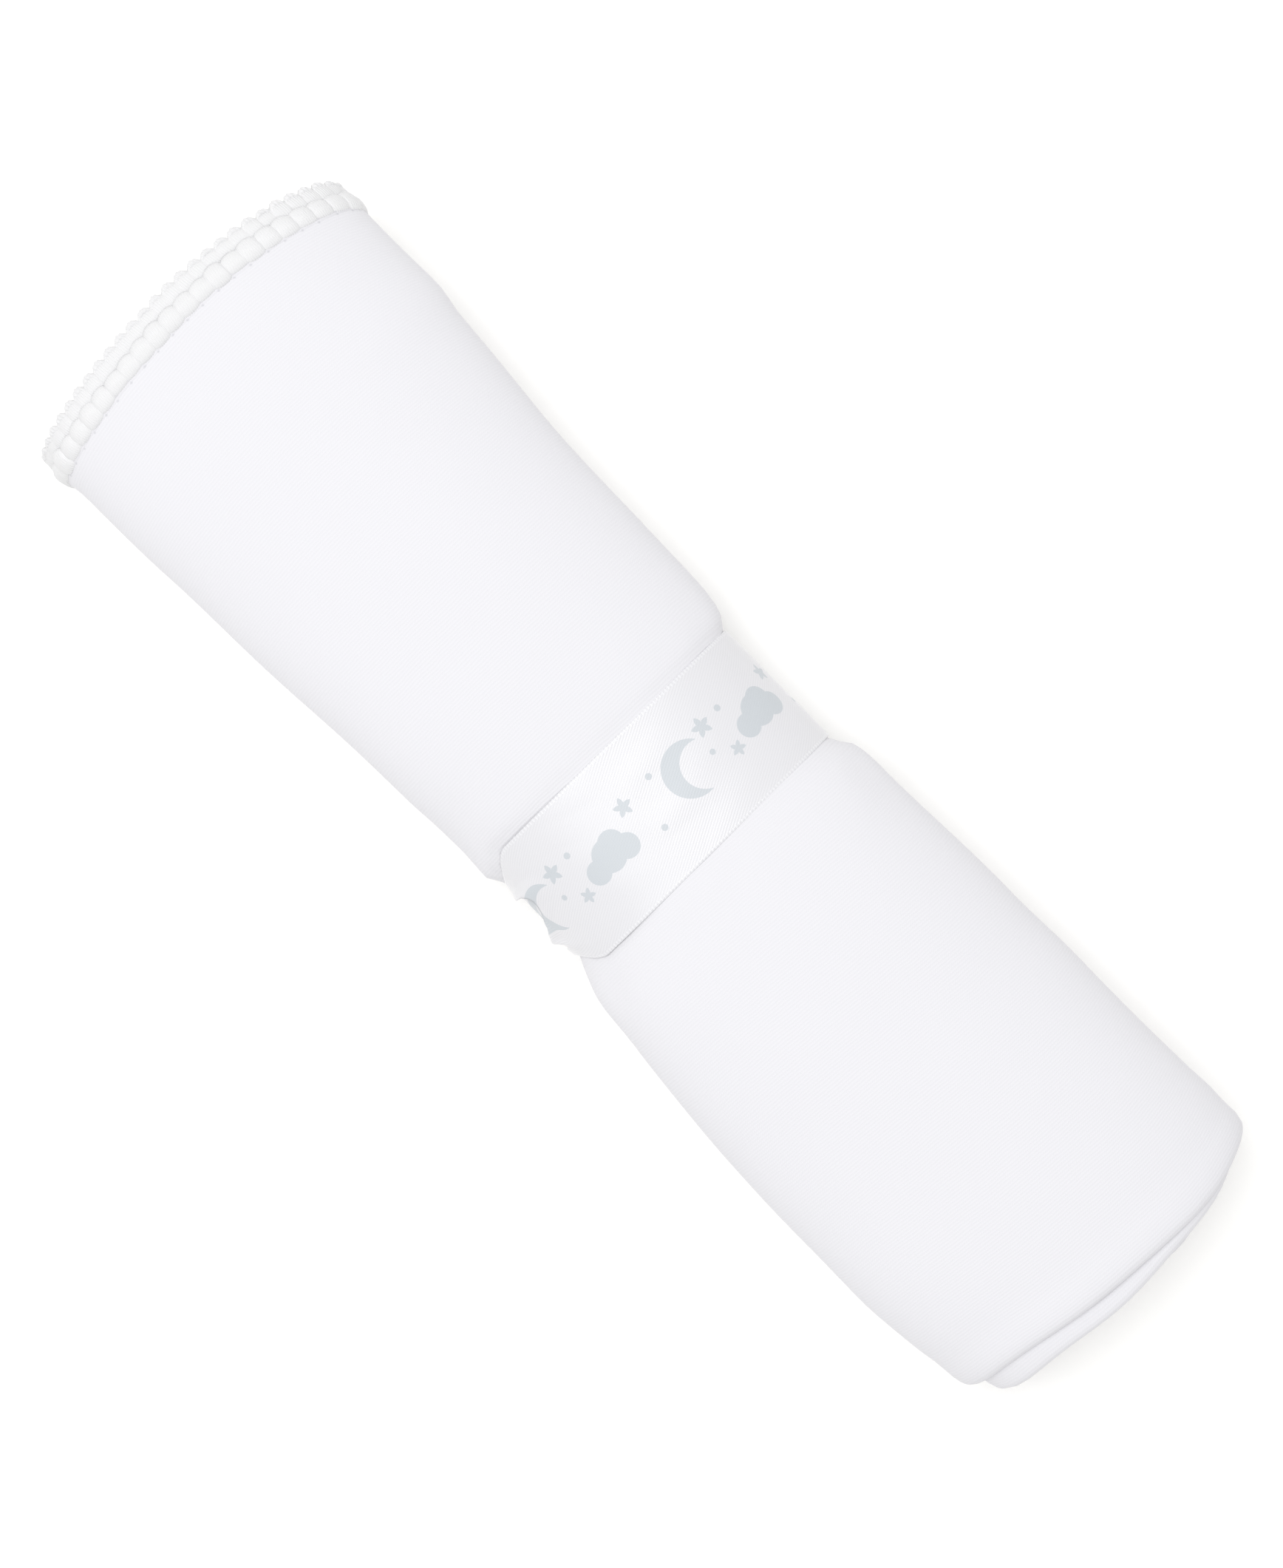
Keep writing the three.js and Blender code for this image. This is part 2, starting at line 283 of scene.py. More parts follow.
def facing_out(points, faces):
    """The faces, turned over where the closed surface they make has its inside out."""
    corners = np.array([[face[0], face[1], face[2], face[-1]] for face in faces])
    a, b, c, d = (points[corners[:, k]] for k in range(4))
    volume = np.sum(np.cross(a, b) * c) + np.sum(np.cross(a, c) * d)
    return faces if volume > 0 else [face[::-1] for face in faces]


def mesh_object(name, points, faces, material, attributes=None):
    mesh = bpy.data.meshes.new(name)
    points = np.asarray(points)
    mesh.from_pydata((points * MM).tolist(), [], facing_out(points, faces))
    mesh.polygons.foreach_set("use_smooth", [True] * len(mesh.polygons))
    for key, values in (attributes or {}).items():
        made = mesh.attributes.new(key, "FLOAT_VECTOR", "POINT")
        made.data.foreach_set("vector", np.asarray(values, np.float32).ravel())
    mesh.materials.append(material)
    mesh.validate()
    mesh.update()
    piece = bpy.data.objects.new(name, mesh)
    bpy.context.scene.collection.objects.link(piece)
    return piece


def slab_faces(rows, columns):
    """Faces of a thin closed slab: an upper and a lower grid of rows x columns points, and its edges."""
    at = np.arange(rows * columns).reshape(rows, columns)
    low = rows * columns
    upper = np.stack([at[:-1, :-1], at[:-1, 1:], at[1:, 1:], at[1:, :-1]], -1).reshape(-1, 4)
    faces = [*upper.tolist(), *(upper[:, ::-1] + low).tolist()]
    rim = [*at[0, :], *at[1:, -1], *at[-1, -2::-1], *at[-2:0:-1, 0]]
    for here, after in zip(rim, rim[1:] + rim[:1]):
        faces.append([int(after), int(here), int(here + low), int(after + low)])
    return faces


def tube_faces(rings, around, start=0):
    """Faces of a closed tube with flat ends, made of rings of points."""
    at = start + np.arange(rings * around).reshape(rings, around)
    after = np.roll(at, -1, axis=1)
    faces = np.stack([at[:-1], after[:-1], after[1:], at[1:]], -1).reshape(-1, 4).tolist()
    return [*faces, at[0, ::-1].tolist(), at[-1].tolist()]


# ---------------------------------------------------------------------------------------------- materials


class Shader:
    """A material's node tree, with short ways to add nodes."""

    def __init__(self, name):
        self.material = bpy.data.materials.new(name)
        self.material.use_nodes = True
        self.tree = self.material.node_tree
        self.surface = self.tree.nodes["Principled BSDF"]

    def node(self, kind, **settings):
        made = self.tree.nodes.new(kind)
        for key, value in settings.items():
            setattr(made, key, value)
        return made

    def put(self, socket, value):
        if isinstance(value, bpy.types.NodeSocket):
            self.tree.links.new(value, socket)
        else:
            socket.default_value = value

    def math(self, operation, *values, clamp=False):
        made = self.node("ShaderNodeMath", operation=operation, use_clamp=clamp)
        for socket, value in zip(made.inputs, values):
            self.put(socket, value)
        return made.outputs[0]

    def attribute(self, name):
        split = self.node("ShaderNodeSeparateXYZ")
        self.put(split.inputs[0], self.node("ShaderNodeAttribute", attribute_name=name).outputs["Vector"])
        return split.outputs

    def wave(self, value, wavelength, phase=0.0):
        """0 to 1, once a wavelength."""
        turned = self.math("MULTIPLY_ADD", value, 2 * math.pi / wavelength, phase)
        return self.math("MULTIPLY_ADD", self.math("SINE", turned), 0.5, 0.5)

    def noise(self, vector, scale, detail=3.0, roughness=0.5):
        made = self.node("ShaderNodeTexNoise")
        self.put(made.inputs["Vector"], vector)
        made.inputs["Scale"].default_value = scale
        made.inputs["Detail"].default_value = detail
        made.inputs["Roughness"].default_value = roughness
        return made.outputs["Fac"]

    def mix(self, share, low, high):
        made = self.node("ShaderNodeMix", data_type="RGBA")
        self.put(made.inputs[0], share)
        self.put(made.inputs[6], low)
        self.put(made.inputs[7], high)
        return made.outputs[2]

    def bump(self, height, distance, strength=1.0, normal=None):
        made = self.node("ShaderNodeBump")
        made.inputs["Strength"].default_value = strength
        made.inputs["Distance"].default_value = distance
        self.put(made.inputs["Height"], height)
        if normal is not None:
            self.put(made.inputs["Normal"], normal)
        return made.outputs["Normal"]

    def set(self, **inputs):
        for key, value in inputs.items():
            self.put(self.surface.inputs[key.replace("_", " ")], value)


COTTON = (0.735, 0.731, 0.757, 1.0)
# painted shade in the grooves between the knit's ribs
COTTON_GROOVE_SHADE = (0.70, 0.696, 0.722, 1.0)
# painted shade in the small pits of the puckers
PUCKER_SHADE = (0.55, 0.55, 0.58, 1.0)
THREAD = (0.76, 0.76, 0.767, 1.0)
# painted shade in the grooves between the thread's windings
THREAD_SHADE = (0.70, 0.70, 0.71, 1.0)
SATIN = (0.71, 0.707, 0.728, 1.0)
# painted shade in the gaps between the weave's floats
SATIN_SHADE = (0.64, 0.638, 0.66, 1.0)
SELVEDGE = (0.73, 0.73, 0.75, 1.0)
PRINT_INK = (0.50, 0.535, 0.565, 1.0)
RIB_PITCH = 0.83
STITCH_PITCH = 0.66
LOBE_PITCH = 5.1  # of the edging's scallops
INNER_LOBE_PITCH = 4.2
PUCKER_FROM_EDGE = 1.2  # of the small pits where the edging's stitches pull the cloth
THREAD_PITCH = 0.62
ROPE_PITCH = 1.05
STRAND_PITCH = 0.31
SELVEDGE_WIDTH = 1.05
SELVEDGE_STITCH = 1.05
PRINT_REPEAT = 54.0
PRINT_SHARPNESS = 6.0


def cotton_knit():
    """Interlock knit: fine ribs of small V stitches that run round the roll."""
    s = Shader("cotton_knit")
    across, along, _ = s.attribute("flat_mm")
    place = s.node("ShaderNodeCombineXYZ")
    s.put(place.inputs[0], across)
    s.put(place.inputs[1], along)
    wander = s.math("MULTIPLY_ADD", s.noise(place.outputs[0], 0.09, 2.0), 0.9, across)
    rib = s.wave(wander, RIB_PITCH)
    ramp = s.math("PINGPONG", wander, RIB_PITCH / 2)
    leaning = s.math("MULTIPLY_ADD", ramp, 0.8, along)
    stitch = s.wave(leaning, STITCH_PITCH)
    yarn = s.math("MULTIPLY", rib, s.math("MULTIPLY_ADD", stitch, 0.45, 0.55))
    fuzz = s.noise(place.outputs[0], 2.6, 4.0, 0.65)
    height = s.math("MULTIPLY_ADD", fuzz, 0.5, yarn)
    cloudy = s.noise(place.outputs[0], 0.05, 3.0)
    # Painted shade: the colour darkens in the grooves between the ribs, and a cloudy noise adds random tone
    groove_shade_and_tone = s.math("MULTIPLY_ADD", cloudy, 0.25, s.math("MULTIPLY", yarn, 0.75), clamp=True)
    stray = s.math("MULTIPLY_ADD", s.noise(place.outputs[0], 0.21, 1.0), 1.6, -0.8)
    off_stitch = s.math("PINGPONG", s.math("ADD", along, stray), LOBE_PITCH / 2)
    off_edge = s.math("SUBTRACT", across, s.math("MULTIPLY_ADD", stray, 0.4, PUCKER_FROM_EDGE))
    reach = s.math("SQRT", s.math("ADD", s.math("POWER", off_stitch, 2.0), s.math("POWER", off_edge, 2.0)))
    pucker = s.math("MULTIPLY_ADD", s.math("SUBTRACT", 0.5, reach), 2.4, 0.0, clamp=True)
    height = s.math("MULTIPLY_ADD", pucker, -1.6, height)
    knit = s.mix(groove_shade_and_tone, COTTON_GROOVE_SHADE, COTTON)
    # The pits of the puckers get painted shade in the base colour, over their dent
    s.set(
        Base_Color=s.mix(s.math("MULTIPLY", pucker, 0.65), knit, PUCKER_SHADE),
        Roughness=0.93,
        Sheen_Weight=0.12,
        Sheen_Roughness=0.5,
        Normal=s.bump(height, 0.00012, 0.42),
    )
    s.surface.inputs["Specular IOR Level"].default_value = 0.2
    return s.material


def edging_thread():
    """Glossy thread, wound side by side."""
    s = Shader("edging_thread")
    along, around, _ = s.attribute("wrap")
    strand = s.wave(s.math("MULTIPLY_ADD", around, 0.25, along), STRAND_PITCH)
    place = s.node("ShaderNodeCombineXYZ")
    s.put(place.inputs[0], along)
    s.put(place.inputs[1], around)
    fibre = s.noise(place.outputs[0], 3.0, 3.0)
    height = s.math("MULTIPLY_ADD", fibre, 0.6, strand)
    # Painted shade: the colour darkens in the grooves between the wound strands
    s.set(
        Base_Color=s.mix(s.math("MULTIPLY_ADD", strand, 0.5, 0.5), THREAD_SHADE, THREAD),
        Roughness=0.42,
        Sheen_Weight=0.1,
        Normal=s.bump(height, 0.0001, 0.6),
    )
    s.surface.inputs["Specular IOR Level"].default_value = 0.5
    return s.material


def satin_ribbon():
    """Satin weave with a generic print of moons, clouds, stars and dots."""
    s = Shader("satin_ribbon")
    across, along, _ = s.attribute("flat_mm")
    repeat = s.math("MODULO", s.math("ADD", along, 8.0), PRINT_REPEAT)

    def distance(at_along, at_across):
        da = s.math("SUBTRACT", repeat, at_along)
        dc = s.math("SUBTRACT", across, at_across)
        return da, dc, s.math("SQRT", s.math("ADD", s.math("POWER", da, 2.0), s.math("POWER", dc, 2.0)))

    def disc(at_along, at_across, radius):
        reach = distance(at_along, at_across)[2]
        return s.math("MULTIPLY_ADD", s.math("SUBTRACT", radius, reach), PRINT_SHARPNESS, 0.5, clamp=True)

    def star(at_along, at_across, radius, turn):
        da, dc, reach = distance(at_along, at_across)
        angle = s.math("ADD", s.math("ARCTAN2", dc, da), 2 * math.pi + turn)
        point = s.math("PINGPONG", angle, math.pi / 5)
        edge = s.math("MULTIPLY_ADD", point, -0.56 * radius / (math.pi / 5), radius)
        return s.math("MULTIPLY_ADD", s.math("SUBTRACT", edge, reach), PRINT_SHARPNESS, 0.5, clamp=True)

    def together(*shapes):
        total = shapes[0]
        for shape in shapes[1:]:
            total = s.math("MAXIMUM", total, shape)
        return total

    moon = s.math("SUBTRACT", disc(12.0, 0.0, 7.6), disc(15.6, 1.6, 6.5), clamp=True)
    cloud = together(disc(36.0, 1.2, 4.6), disc(31.0, 2.6, 3.3), disc(41.0, 2.6, 3.4), disc(38.5, -0.6, 3.6))
    stars = together(star(21.5, -5.6, 2.9, 0.3), star(24.5, 4.8, 2.2, 0.9), star(47.0, -5.0, 2.7, 0.1))
    dots = together(disc(3.0, -6.0, 0.9), disc(28.0, -6.2, 0.9), disc(51.0, 6.0, 0.9), disc(19.0, 0.9, 0.8))
    ink = together(moon, cloud, stars, dots)

    half = (RIBBON_TO - RIBBON_FROM) / 2
    from_edge = s.math("SUBTRACT", half, s.math("ABSOLUTE", across))
    selvedge = s.math("LESS_THAN", from_edge, SELVEDGE_WIDTH)
    dash = s.math("GREATER_THAN", s.wave(along, SELVEDGE_STITCH), 0.45)
    stitched = s.math("MULTIPLY", selvedge, dash)
    slanting = s.math("MULTIPLY_ADD", along, 0.53, across)
    weave = s.wave(slanting, 0.78)
    fine = s.wave(s.math("MULTIPLY_ADD", across, -0.35, along), 0.36)
    floats = s.math("MULTIPLY_ADD", weave, 0.6, s.math("MULTIPLY", fine, 0.4))
    # Painted shade: the colour darkens in the gaps between the weave's floats
    body = s.mix(floats, SATIN_SHADE, SATIN)
    printed = s.mix(s.math("MULTIPLY", ink, s.math("MULTIPLY_ADD", fine, 0.25, 0.72)), body, PRINT_INK)
    edged = s.mix(stitched, printed, SELVEDGE)
    height = s.math("MULTIPLY_ADD", stitched, 0.8, s.math("MULTIPLY", floats, 0.6))
    s.set(
        Base_Color=edged,
        Roughness=s.math("MULTIPLY_ADD", ink, 0.15, 0.3),
        Normal=s.bump(height, 0.0001, 0.5),
    )
    s.surface.inputs["Specular IOR Level"].default_value = 0.55
    s.surface.inputs["Anisotropic"].default_value = 0.4
    return s.material


def plain(name, colour, roughness):
    s = Shader(name)
    place = s.node("ShaderNodeTexCoord").outputs["Object"]
    grain = s.noise(place, 900.0, 2.0)
    s.set(Base_Color=colour, Roughness=roughness, Normal=s.bump(grain, 0.00002, 0.2))
    return s.material


KNIT = cotton_knit()
EDGING_THREAD = edging_thread()
RIBBON_SATIN = satin_ribbon()
GLUE = plain("glue_dot", (0.82, 0.80, 0.72, 1.0), 0.35)


# -------------------------------------------------------------------------------------------------- cloth

OUTER_LEAF_END = FOLD_TIP - (SHEET_WIDTH - LEAF_STEP) / 2 + EDGING
INNER_LEAF_END = OUTER_LEAF_END - LEAF_STEP
FOLD_X = FOLD_TIP - CLOTH_THICKNESS / 2


def spaced(start, end, spacing):
    """Places from start to end whose spacing follows the function spacing(place)."""
    fine = np.linspace(start, end, 4000)
    count = np.concatenate([[0.0], np.cumsum(np.diff(fine) / spacing((fine[:-1] + fine[1:]) / 2))])
    steps = max(int(round(count[-1])), 1)
    return np.interp(np.linspace(0, count[-1], steps + 1), count, fine)


def outer_spacing(x):
    by_ribbon = np.minimum(np.abs(x - WAIST_FROM + 3), np.abs(x - WAIST_TO - 3))
    near = np.exp(-by_ribbon / 9) + np.exp(-np.abs(x - OUTER_LEAF_END) / 5) + np.exp(-np.abs(x - FOLD_X) / 7)
    return 4.0 - 2.5 * np.minimum(near, 1.0)


def inner_spacing(x):
    near = np.exp(-np.abs(x - INNER_LEAF_END) / 8) + np.exp(-np.abs(x - FOLD_X) / 8)
    return 8.0 - 5.8 * np.minimum(near, 1.0)


def fold_profile():
    """X and offset from the doubled sheet's middle of the cloth's own middle line, from hem to hem."""
    outer_x = spaced(OUTER_LEAF_END, FOLD_X - FOLD_BULB, outer_spacing)
    inner_x = spaced(INNER_LEAF_END, FOLD_X - FOLD_BULB, inner_spacing)

    def gap(x):
        swell = smooth_step(FOLD_X - FOLD_BULB - FOLD_BULB_LENGTH, FOLD_X - FOLD_BULB, x)
        return LEAF_MIDDLE + (FOLD_BULB - LEAF_MIDDLE) * swell

    arc = np.radians(np.linspace(90, -90, 11)[1:-1])
    fold_x = FOLD_X - FOLD_BULB + FOLD_BULB * np.cos(arc)
    fold_offset = FOLD_BULB * np.sin(arc)
    xs = np.concatenate([outer_x, fold_x, inner_x[::-1]])
    offsets = np.concatenate([gap(outer_x), fold_offset, -gap(inner_x[::-1])])
    return xs, offsets


def row_spacing(length):
    return 2.3 + 1.5 * smooth_step(235, 270, length)


def make_blanket():
    xs, offsets = fold_profile()
    lengths = spaced(0.0, CLOTH_LENGTH, row_spacing)
    turns = turns_at(lengths)
    # Directions across the thickness, square to the profile
    dx, doff = np.gradient(xs), np.gradient(offsets)
    reach = np.hypot(dx, doff)
    nx, noff = -doff / reach, dx / reach
    flat_x = np.concatenate([[0.0], np.cumsum(np.hypot(np.diff(xs), np.diff(offsets)))])
    layers = []
    for side in (1, -1):
        half = side * CLOTH_THICKNESS / 2
        x = (xs + nx * half)[:, None]
        offset = (offsets + noff * half)[:, None]
        layers.append(cloth_point(x + 0 * turns[None, :], turns[None, :] + 0 * x, offset))
    points = np.concatenate([layer.reshape(-1, 3) for layer in layers])
    flat = np.stack(np.broadcast_arrays(flat_x[:, None], lengths[None, :], 0.0), -1).reshape(-1, 3)
    faces = slab_faces(len(xs), len(lengths))
    piece = mesh_object("blanket_sheet", points, faces, KNIT, {"flat_mm": np.concatenate([flat, flat])})
    return piece, (flat_x[-1], CLOTH_LENGTH)


# ------------------------------------------------------------------------------------------------ edgings


def lobe_shape(length, pitch, seed):
    """How full the edging is along its length, 0 at the tight stitch between two lobes and 1 in a lobe's
    middle. Also a size for each lobe, a little different from one to the next."""
    index = np.floor(length / pitch).astype(int)
    share = length / pitch - index
    sizes = np.random.default_rng(seed).uniform(0.84, 1.12, index.max() + 2)
    pairs = sizes[index], sizes[index + 1]
    size = pairs[0] + (pairs[1] - pairs[0]) * smooth_step(0.85, 1.15, share)
    return np.sin(np.pi * share) ** 0.6, size


# A wound row of thread. e is the distance outward from the cloth's edge and w the distance out of the roll.
# Each of the first four is a pair, at the tight stitch between two lobes and in a lobe's middle: where the
# row's middle lies, and its half sizes. thread is the pitch of its windings, and relief is how far they
# stand out, as a share of the size.
Row = namedtuple("Row", "e_middle w_middle e_half w_half thread relief")


def between(pair, full):
    """The value between a pair's two, at a fullness of 0 to 1."""
    return pair[0] + (pair[1] - pair[0]) * full


def wound_tube(place, lengths, pitch, seed, row, around):
    """Points of one row of a thread-wound edging. place(length, e, w) gives a point."""
    full, size = lobe_shape(lengths, pitch, seed)
    full, size = full[:, None], size[:, None]
    theta = np.linspace(0, 2 * math.pi, around, endpoint=False)[None, :]
    wrap = np.sin(2 * math.pi * (lengths[:, None] / row.thread + 0.3 * np.cos(theta)))
    swell = 1 + row.relief * wrap * (0.4 + 0.6 * full)
    e_half = between(row.e_half, full) * size * swell
    w_half = between(row.w_half, full) * size * swell
    e = between(row.e_middle, full) + e_half * np.cos(theta)
    w = between(row.w_middle, full) + w_half * np.sin(theta)
    points = place(lengths[:, None] + 0 * theta, e, w)
    flat = np.stack(np.broadcast_arrays(lengths[:, None], theta, full), -1)
    return points.reshape(-1, 3), flat.reshape(-1, 3)


def make_edging(name, tubes, around_counts):
    """One piece made of tubes, each with its own number of points around."""
    points, flats, faces = [], [], []
    start = 0
    for (tube_points, flat), around in zip(tubes, around_counts):
        faces += tube_faces(len(tube_points) // around, around, start)
        points.append(tube_points)
        flats.append(flat)
        start += len(tube_points)
    return mesh_object(name, np.concatenate(points), faces, EDGING_THREAD, {"wrap": np.concatenate(flats)})


def ring_places(start, end, spacing):
    return np.linspace(start, end, int(round((end - start) / spacing)) + 1)


def hem_place(edge_x, side):
    """Points along a hem at the -X end: side is 1 for the outer leaf and -1 for the inner one."""

    def place(length, e, w):
        return cloth_point(edge_x - e, turns_at(length), side * w)

    return place


SHOWN_HEM = 262.0  # length of hem in the outer turn, about
HEM_MARGIN = 0.3
# Between the rings of a hem, and points around each ring: where it shows, and inside the roll
SHOWN_RINGS = (0.135, 16)
HIDDEN_RINGS = (0.4, 10)


def make_hem(name, edge_x, side, seed, pitch, rows):
    place = hem_place(edge_x, side)
    tubes, counts = [], []
    shown = (HEM_MARGIN, SHOWN_HEM, *SHOWN_RINGS)
    hidden = (SHOWN_HEM, CLOTH_LENGTH - HEM_MARGIN, *HIDDEN_RINGS)
    for start, end, spacing, around in (shown, hidden):
        lengths = ring_places(start, end, spacing)
        for row in rows:
            tubes.append(wound_tube(place, lengths, pitch, seed, row, around))
            counts.append(around)
    return make_edging(name, tubes, counts)


def make_outer_hem():
    rows = [Row((1.75, 2.0), (0.75, 0.95), (2.45, 3.15), (1.0, 1.4), THREAD_PITCH, 0.025)]
    return make_hem("hem_picot_outer_leaf", OUTER_LEAF_END, 1, 21, LOBE_PITCH, rows)


def make_inner_hem():
    rows = [
        Row((1.3, 1.5), (0.1, 0.05), (2.3, 2.75), (0.95, 1.15), THREAD_PITCH, 0.04),
        Row((2.5, 4.05), (0.15, 0.0), (0.8, 1.0), (0.75, 0.95), ROPE_PITCH, 0.12),
    ]
    return make_hem("hem_picot_inner_leaf", INNER_LEAF_END, -1, 22, INNER_LOBE_PITCH, rows)


def end_place(turns, direction):
    """Points along a sheet end: length runs along X from the hem end, e runs on round the roll."""
    nudge = 0.002
    (y0, z0), (y1, z1) = (roll_point(np.array(100.0), t) for t in (turns, turns + nudge))
    rate = direction * nudge / math.hypot(float(y1 - y0), float(z1 - z0))

    def place(length, e, w):
        return cloth_point(OUTER_LEAF_END + 1 + length, turns + e * rate, w)

    return place


def make_end(name, turns, direction, spacing, around):
    place = end_place(turns, direction)
    lengths = ring_places(0.0, FOLD_X - OUTER_LEAF_END - 2, spacing)
    outer = Row((2.2, 2.5), (0.65, 0.7), (1.8, 2.7), (0.45, 0.75), THREAD_PITCH, 0.06)
    under = Row((2.6, 2.9), (-0.7, -0.7), (1.8, 2.7), (0.4, 0.65), THREAD_PITCH, 0.06)
    seeded = ((23, outer), (24, under))
    tubes = [wound_tube(place, lengths, LOBE_PITCH, seed, row, around) for seed, row in seeded]
    return make_edging(name, tubes, [around, around])


# ------------------------------------------------------------------------------------------------- ribbon

RIBBON_THICKNESS = 0.2
RIBBON_OFFSET = 1.37  # of its lower face from the middle of the doubled sheet
RIBBON_CLEARANCE = 0.05  # least height over the floor
RIBBON_EDGE = 1.2  # a strip along each edge with closer rows
THIN_EDGE = 0.4  # the ribbon thins over this width at each edge
LAP_RISE = 0.5
LAP_FROM, LAP_FULL = 100.0, 136.0  # degrees, where the lapping end begins to rise and is up
INNER_END_ANGLE = -222.0
ANGLE_NUDGE = -0.5  # degrees, negative because angles run against turns
# The lapping end's cut edge: X, angle round the roll, and how far it has curled up
CUT_EDGE = np.array([
    (-15.0, 183.0, 0.2),
    (-10.0, 179.0, 0.5),
    (-6.5, 172.0, 1.3),
    (-3.5, 160.0, 1.6),
    (0.0, 156.0, 1.2),
    (4.0, 160.0, 0.6),
    (8.5, 171.0, 0.6),
    (11.5, 177.0, 1.5),
    (14.5, 181.0, 2.3),
    (16.3, 173.0, 1.2),
    (18.0, 168.0, 0.5),
    (21.0, 178.0, 0.5),
    (24.0, 184.0, 0.2),
])
CURL_LENGTH = 22.0  # degrees


def ribbon_point(x, angle, offset):
    y, z, ny, nz = with_normal(lambda a: section_point(x, a, 0.0), angle, ANGLE_NUDGE)
    height = np.maximum(z + nz * offset, RIBBON_CLEARANCE)
    return np.stack(np.broadcast_arrays(x, y + ny * offset, height), axis=-1)


def make_ribbon():
    across = np.unique(np.round(np.concatenate([
        np.linspace(RIBBON_FROM, RIBBON_FROM + RIBBON_EDGE, 6),
        np.linspace(RIBBON_FROM + RIBBON_EDGE, RIBBON_TO - RIBBON_EDGE, 58),
        np.linspace(RIBBON_TO - RIBBON_EDGE, RIBBON_TO, 6),
    ]), 4))
    share = np.linspace(0, 1, 240)[None, :]
    x = across[:, None] + 0 * share
    start = smooth_table(CUT_EDGE[:, 0], CUT_EDGE[:, 1], x)
    curl = smooth_table(CUT_EDGE[:, 0], CUT_EDGE[:, 2], x)
    angle = start + (INNER_END_ANGLE - start) * share
    lap = LAP_RISE * smooth_step(LAP_FROM, LAP_FULL, angle)
    lifted = curl * smooth_step(start - CURL_LENGTH, start, angle) ** 2
    dents = 0.10 * ripple(angle * 0.5, x, 16, 31) * smooth_step(-95, -40, angle)
    edge = np.minimum(x - RIBBON_FROM, RIBBON_TO - x)
    flat_x = x
    x = GATHER_CENTRE + (x - GATHER_CENTRE) / (1 + GATHER * gather_share(angle))
    thin_edge = 1 - smooth_step(0, THIN_EDGE, edge)
    thick = RIBBON_THICKNESS * (1 - 0.75 * thin_edge)
    middle = RIBBON_OFFSET - 0.06 * thin_edge + thick / 2 + lap + lifted + np.maximum(dents, -0.03)
    upper = ribbon_point(x, angle, middle + thick / 2)
    lower = ribbon_point(x, angle, middle - thick / 2)
    middle_row = len(across) // 2
    walked = np.concatenate([[0.0], np.cumsum(np.linalg.norm(np.diff(upper[middle_row], axis=0), axis=1))])
    along = np.interp(-angle, -angle[middle_row], walked)
    flat = np.stack(np.broadcast_arrays(flat_x - RIBBON_CENTRE, along, 0.0), -1).reshape(-1, 3)
    points = np.concatenate([upper.reshape(-1, 3), lower.reshape(-1, 3)])
    faces = [face[::-1] for face in slab_faces(len(across), share.size)]
    attributes = {"flat_mm": np.concatenate([flat, flat])}
    piece = mesh_object("satin_ribbon", points, faces, RIBBON_SATIN, attributes)
    return piece, (RIBBON_TO - RIBBON_FROM, walked[-1])


GLUE_X = 7.0
GLUE_ANGLE = 148.0
GLUE_BASE = RIBBON_OFFSET + RIBBON_THICKNESS + 0.05
DEGREES_A_MM = 1.9  # round the roll, at the glue dot
GLUE_SIDES = 24


def make_glue_dot():
    """A flat dot with a round rim: its top point, three rings and its bottom point."""
    turn = np.linspace(0, 2 * math.pi, GLUE_SIDES, endpoint=False)
    rings = []
    for radius, offset in ((0.0, 0.12), (3.4, 0.12), (4.0, 0.06), (3.4, 0.0), (0.0, 0.0)):
        x = GLUE_X + radius * np.cos(turn)
        angle = GLUE_ANGLE + DEGREES_A_MM * radius * np.sin(turn)
        rings.append(ribbon_point(x, angle, GLUE_BASE + offset + 0 * turn))
    points = [rings[0][0], *np.concatenate(rings[1:4]), rings[4][0]]
    first, second, third = (1 + ring * GLUE_SIDES for ring in range(3))
    bottom = third + GLUE_SIDES
    faces = []
    for i in range(GLUE_SIDES):
        j = (i + 1) % GLUE_SIDES
        faces.append([0, first + i, first + j])
        for upper, lower in ((first, second), (second, third)):
            faces.append([upper + i, lower + i, lower + j, upper + j])
        faces.append([third + i, bottom, third + j])
    return mesh_object("glue_dot", points, faces, GLUE)


# ---------------------------------------------------------------------------------------------- the object

LAST_TURNS = float(turns_at(CLOTH_LENGTH))
blanket, blanket_flat = make_blanket()
outer_hem = make_outer_hem()
inner_hem = make_inner_hem()
end_outer = make_end("end_picot_outer", 0.0, -1, 0.23, 12)
end_core = make_end("end_picot_core", LAST_TURNS, 1, 0.6, 8)
ribbon, ribbon_flat = make_ribbon()
glue = make_glue_dot()

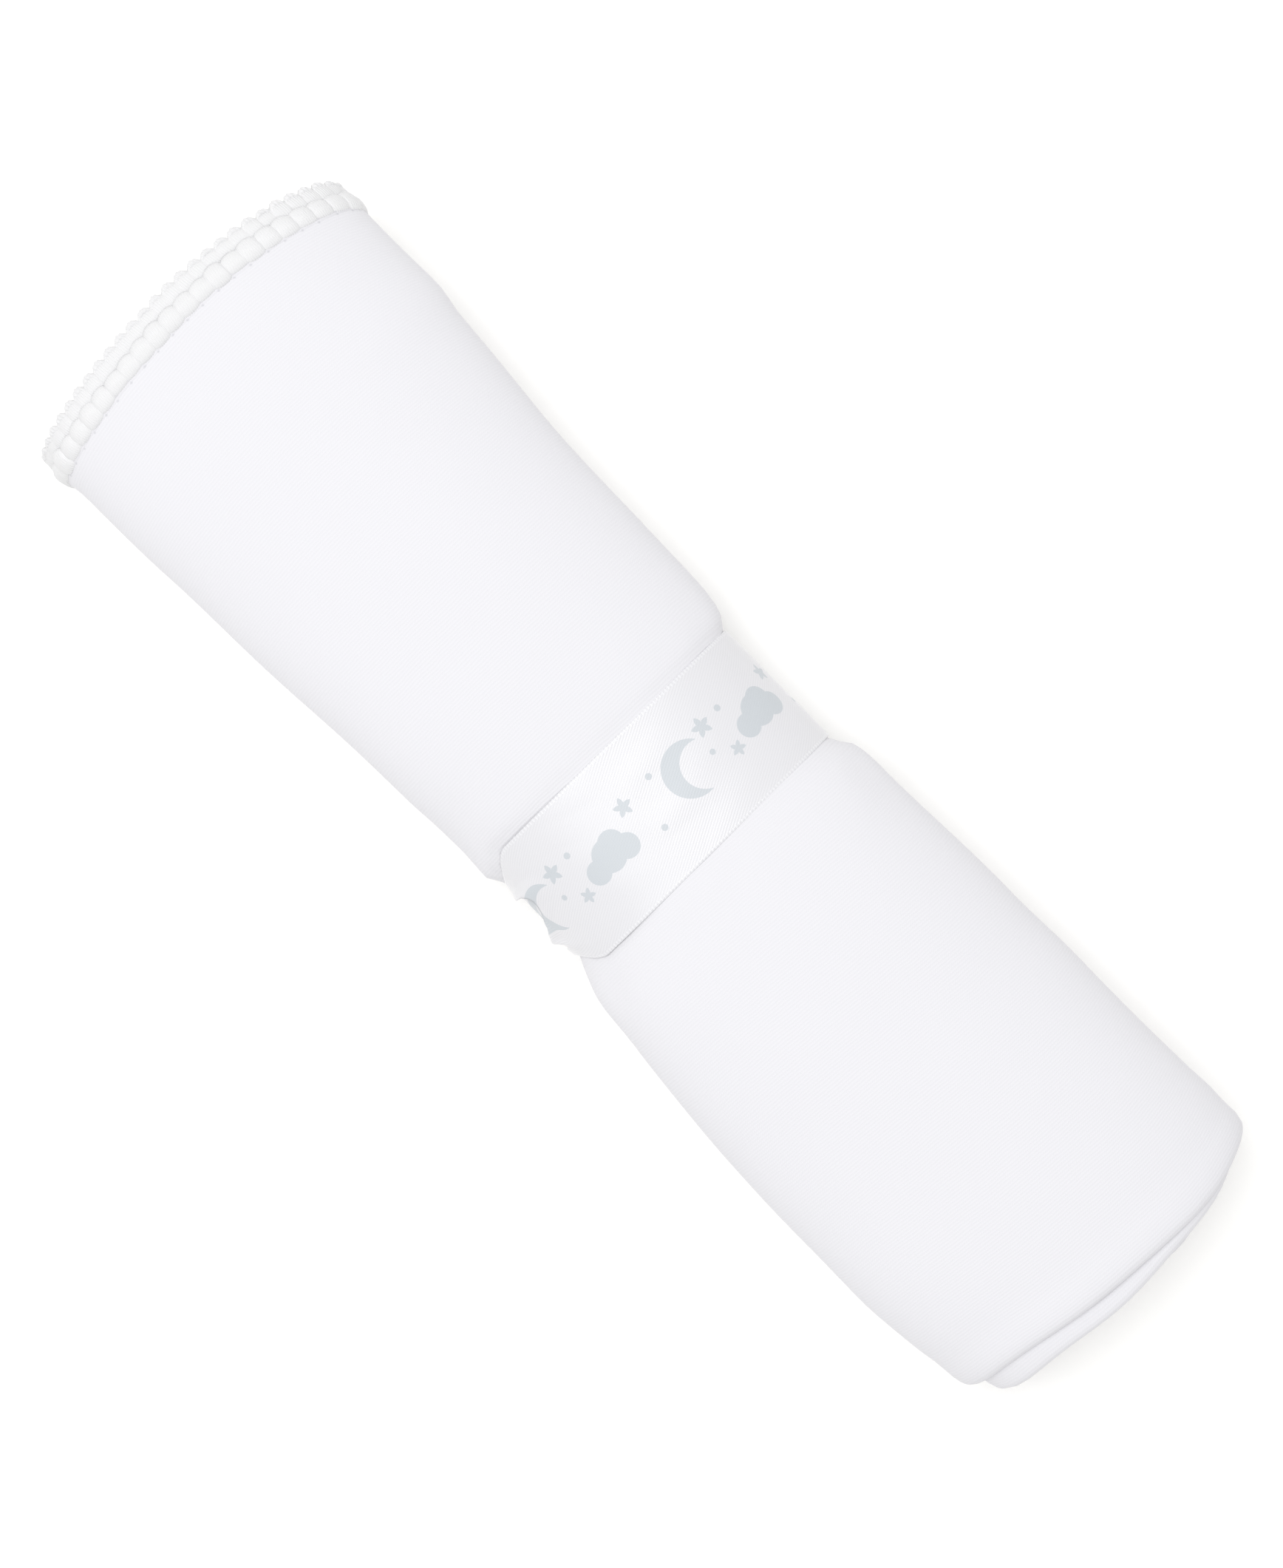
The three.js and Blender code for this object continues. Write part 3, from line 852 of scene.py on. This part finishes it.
for piece, node, slot_name, body in (
    (blanket, "blanket_cloth", "cotton_knit", "blanket"),
    (outer_hem, "hem_edging_outer_leaf", "edging_thread", "blanket"),
    (inner_hem, "hem_edging_inner_leaf", "edging_thread", "blanket"),
    (end_outer, "end_edging_outer", "edging_thread", "blanket"),
    (end_core, "end_edging_core", "edging_thread", "blanket"),
    (ribbon, "ribbon_band", "satin_ribbon", "ribbon"),
    (glue, "ribbon_glue_dot", "glue_dot", "ribbon"),
):
    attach(piece, body)
    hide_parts(node)


# ------------------------------------------------------------------------------------ floor, light, camera


def make_floor():
    bpy.ops.mesh.primitive_plane_add(size=30.0, location=(0, 0, -0.0003))
    floor = bpy.context.object
    floor.name = "floor"
    s = Shader("floor")
    place = s.node("ShaderNodeTexCoord").outputs["Object"]
    s.set(
        Base_Color=(0.905, 0.90, 0.885, 1.0),
        Roughness=0.9,
        Emission_Color=(1.0, 1.0, 0.99, 1.0),
        Emission_Strength=0.1,
        Normal=s.bump(s.noise(place, 300.0, 2.0), 0.00005, 0.1),
    )
    floor.data.materials.append(s.material)


def add_light(name, place, aim, size, power, colour):
    data = bpy.data.lights.new(name, "AREA")
    data.shape = "SQUARE"
    data.size = size
    data.energy = power
    data.color = colour
    light = bpy.data.objects.new(name, data)
    light.location = place
    way = Vector(aim) - Vector(place)
    light.rotation_euler = way.to_track_quat("-Z", "Y").to_euler()
    bpy.context.scene.collection.objects.link(light)


PHOTO_TURN = math.radians(45.4)
CAMERA_PLACE = (-1.2 * MM, -0.5 * MM, 1.025)
LENS = 89.4
SENSOR_WIDTH = 36.0


def make_camera():
    """Looks straight down, turned as the roll lies in the photo."""
    data = bpy.data.cameras.new("photo_camera")
    data.lens = LENS
    data.sensor_width = SENSOR_WIDTH
    data.clip_start, data.clip_end = 0.05, 20.0
    camera = bpy.data.objects.new("photo_camera", data)
    camera.location = CAMERA_PLACE
    camera.rotation_euler = (0.0, 0.0, PHOTO_TURN)
    bpy.context.scene.collection.objects.link(camera)
    bpy.context.scene.camera = camera


def light_scene():
    world = bpy.data.worlds.new("studio")
    world.use_nodes = True
    background = world.node_tree.nodes["Background"]
    background.inputs["Color"].default_value = (1.0, 1.0, 1.0, 1.0)
    background.inputs["Strength"].default_value = 0.8
    bpy.context.scene.world = world
    add_light("overhead", (-0.36, -0.12, 1.65), (0, 0, 0), 1.1, 15.8, (1.0, 1.0, 1.0))
    bpy.context.scene.view_settings.view_transform = "Standard"


make_camera()
make_floor()
light_scene()
